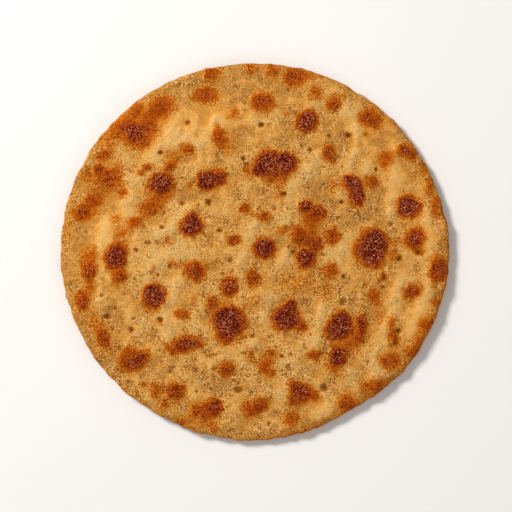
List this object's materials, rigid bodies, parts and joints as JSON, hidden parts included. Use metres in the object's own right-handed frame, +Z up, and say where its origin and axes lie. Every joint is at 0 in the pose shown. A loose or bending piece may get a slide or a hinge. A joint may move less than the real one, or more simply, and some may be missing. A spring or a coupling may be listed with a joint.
{
  "type": "paratha",
  "caption": "Round griddled flatbread with an uneven rolled rim and low puffed swells, lying flat on its underside.",
  "frame": {"origin": "under the middle of the bread, on the surface that it lies on", "axes": "+Z up through the bread, +Y towards twelve o'clock as it is seen from above, +X across its widest side"},
  "size_m": [0.19, 0.184, 0.0076],
  "materials": {
    "baked_dough": "matte"
  },
  "bodies": {
    "root": {"paratha": "baked_dough"}
  },
  "joints": []
}
